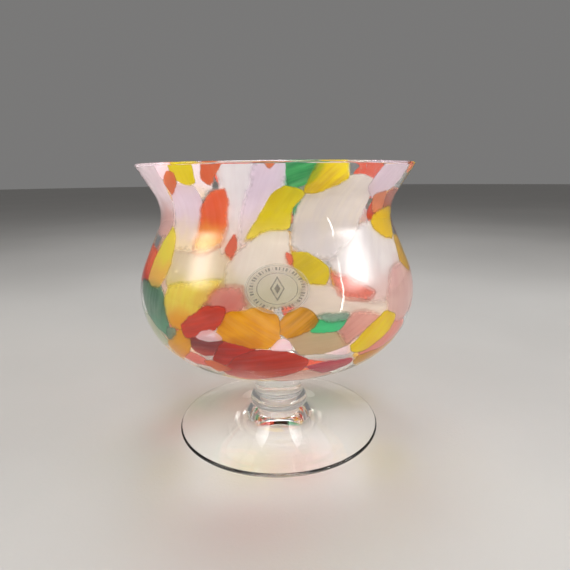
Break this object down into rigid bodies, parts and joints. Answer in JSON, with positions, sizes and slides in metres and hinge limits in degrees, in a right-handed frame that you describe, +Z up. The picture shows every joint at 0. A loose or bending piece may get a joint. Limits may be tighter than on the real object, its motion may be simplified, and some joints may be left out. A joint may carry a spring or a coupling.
{
  "type": "footed art glass bowl",
  "caption": "Footed blown glass bowl with a pinched neck, wide belly and flared lip, coloured chips cased in clear glass, on a clear collared stem and disc foot.",
  "frame": {"origin": "centre of the resting plane under the foot", "axes": "+Z up along the bowl axis, -Y towards the side that carries the label, +X to its right"},
  "size_m": [0.1528, 0.1528, 0.154],
  "materials": {
    "amber_glass": "gloss, streaked",
    "clear_glass": "clear, fire polished",
    "crimson_glass": "gloss",
    "emerald_glass": "gloss, transparent",
    "label_film": "clear printed film",
    "lemon_glass": "gloss",
    "lilac_glass": "opaline, soft gloss",
    "maroon_glass": "gloss",
    "olive_glass": "gloss",
    "orange_glass": "gloss",
    "pink_glass": "opaline, soft gloss",
    "red_glass": "gloss",
    "teal_glass": "gloss, transparent",
    "white_glass": "opaline, soft gloss"
  },
  "bodies": {
    "root": {"amber_chip_front": "amber_glass", "amber_chip_front_right": "amber_glass", "amber_chip_left_base": "amber_glass", "amber_chip_right_base": "amber_glass", "amber_chip_right_shoulder": "amber_glass", "crimson_chip_front_base": "crimson_glass", "emerald_chip_front_belly": "emerald_glass", "emerald_chip_front_rim": "emerald_glass", "foot": "clear_glass", "green_chips_round_back": "emerald_glass", "inner_gather": "clear_glass", "lemon_chip_front_neck": "lemon_glass", "lemon_chip_left_rim": "lemon_glass", "lemon_chip_left_shoulder": "lemon_glass", "lemon_chip_right_base": "lemon_glass", "lemon_chip_right_neck": "lemon_glass", "lemon_chip_right_rim": "lemon_glass", "lilac_chip_front_rim": "lilac_glass", "lilac_chip_left_flare": "lilac_glass", "lilac_chip_left_neck": "lilac_glass", "lilac_chip_right_rim": "lilac_glass", "maker_label": "label_film", "maroon_chip_left_base": "maroon_glass", "olive_chip_front": "olive_glass", "olive_chip_left_belly": "olive_glass", "orange_chip_left_neck": "orange_glass", "orange_chip_left_rim": "orange_glass", "orange_chip_right_neck": "orange_glass", "outer_casing": "clear_glass", "pink_chip_front_right": "pink_glass", "pink_chip_left_base": "pink_glass", "pink_chip_right_base": "pink_glass", "pink_chip_right_belly": "pink_glass", "red_chip_front_base": "red_glass", "red_chip_left_base": "red_glass", "red_chip_left_belly": "red_glass", "red_chip_right_belly": "red_glass", "red_chip_right_neck": "red_glass", "red_chips_round_back": "red_glass", "rose_chip_front_left": "pink_glass", "small_orange_chips": "orange_glass", "small_red_chips": "red_glass", "small_teal_chips": "teal_glass", "small_white_chips": "white_glass", "stem": "clear_glass", "stem_collar": "clear_glass", "teal_chip_left_belly": "teal_glass", "white_chip_bottom": "white_glass", "white_chip_front": "white_glass", "white_chip_front_base": "white_glass", "white_chip_front_rim": "white_glass", "white_chip_left_base": "white_glass", "white_chip_left_belly": "white_glass", "white_chip_right_belly": "white_glass", "white_chip_right_neck": "white_glass", "white_chip_right_shoulder": "white_glass", "white_chips_round_back": "white_glass", "yellow_chips_round_back": "lemon_glass"}
  },
  "joints": []
}
